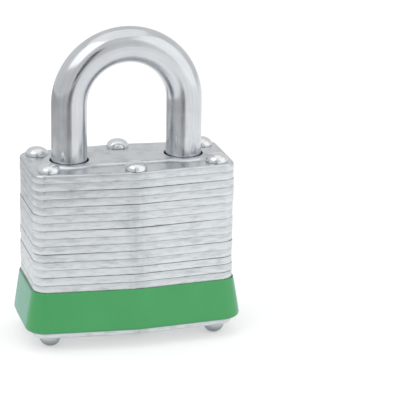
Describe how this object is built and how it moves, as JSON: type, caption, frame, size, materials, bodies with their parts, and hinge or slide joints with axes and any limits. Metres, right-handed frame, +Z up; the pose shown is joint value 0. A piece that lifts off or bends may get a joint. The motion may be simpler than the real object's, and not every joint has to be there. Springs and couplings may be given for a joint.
{
  "type": "laminated padlock",
  "caption": "Laminated steel padlock with a round bent shackle, domed rivets and a flared vinyl bumper round its base; pin cylinder, cam and paired locking levers inside.",
  "frame": {"origin": "middle of the footprint at the lowest point of the rivet heads under the lock", "axes": "+X to the right across the width, +Y to the back through the depth, +Z up along the shackle legs"},
  "size_m": [0.0432, 0.0232, 0.0618],
  "materials": {
    "plated_steel": "bright plated, tumbled",
    "rivet_steel": "bright plated",
    "shackle_steel": "plated and polished",
    "spring_steel": "drawn wire and strip",
    "lever_steel": "hardened, oiled",
    "brass": "turned",
    "vinyl": "moulded, soft sheen"
  },
  "bodies": {
    "case": {"top_plate": "plated_steel", "lamination_02": "plated_steel", "lamination_03": "plated_steel", "lamination_04": "plated_steel", "lamination_05": "plated_steel", "lamination_06": "plated_steel", "lamination_07": "plated_steel", "lamination_08": "plated_steel", "lamination_09": "plated_steel", "lamination_10": "plated_steel", "lamination_11": "plated_steel", "lamination_12": "plated_steel", "lamination_13": "plated_steel", "lamination_14": "plated_steel", "lamination_15": "plated_steel", "lamination_16": "plated_steel", "lamination_17": "plated_steel", "lamination_18": "plated_steel", "lamination_19": "plated_steel", "lamination_20": "plated_steel", "bottom_plate": "plated_steel", "corner_rivets": "rivet_steel", "lever_pivot_rivets": "rivet_steel", "bumper": "vinyl", "cylinder_shell": "brass", "chamber_cover": "brass", "driver_pins": "brass", "pin_springs": "spring_steel", "lever_springs": "spring_steel", "shackle_spring": "spring_steel"},
    "shackle_bar": {"shackle": "shackle_steel"},
    "plug_core": {"plug": "brass", "cam": "lever_steel", "plug_clip": "spring_steel", "key_pins": "brass"},
    "lever_left": {"left_lever": "lever_steel"},
    "lever_right": {"right_lever": "lever_steel"}
  },
  "joints": [
    {"name": "shackle_slide", "type": "slide", "parent": "case", "child": "shackle_bar", "axis": [0, 0, 1], "range_m": [0, 0.0087], "deforming": ["shackle_spring"]},
    {"name": "plug_turn", "type": "hinge", "parent": "case", "child": "plug_core", "pos_m": [0, 0, 0.015], "axis": [0, 0, 1], "range_deg": [-90, 0]},
    {"name": "left_lever_swing", "type": "hinge", "parent": "case", "child": "lever_left", "pos_m": [0, -0.0077, 0.0308], "axis": [0, 0, 1], "range_deg": [0, 13]},
    {"name": "right_lever_swing", "type": "hinge", "parent": "case", "child": "lever_right", "pos_m": [0, 0.0077, 0.0308], "axis": [0, 0, 1], "range_deg": [0, 13]}
  ],
  "couplings": [
    {"joint": "left_lever_swing", "follows": "plug_turn", "ratio": -0.14444},
    {"joint": "right_lever_swing", "follows": "plug_turn", "ratio": -0.14444}
  ]
}
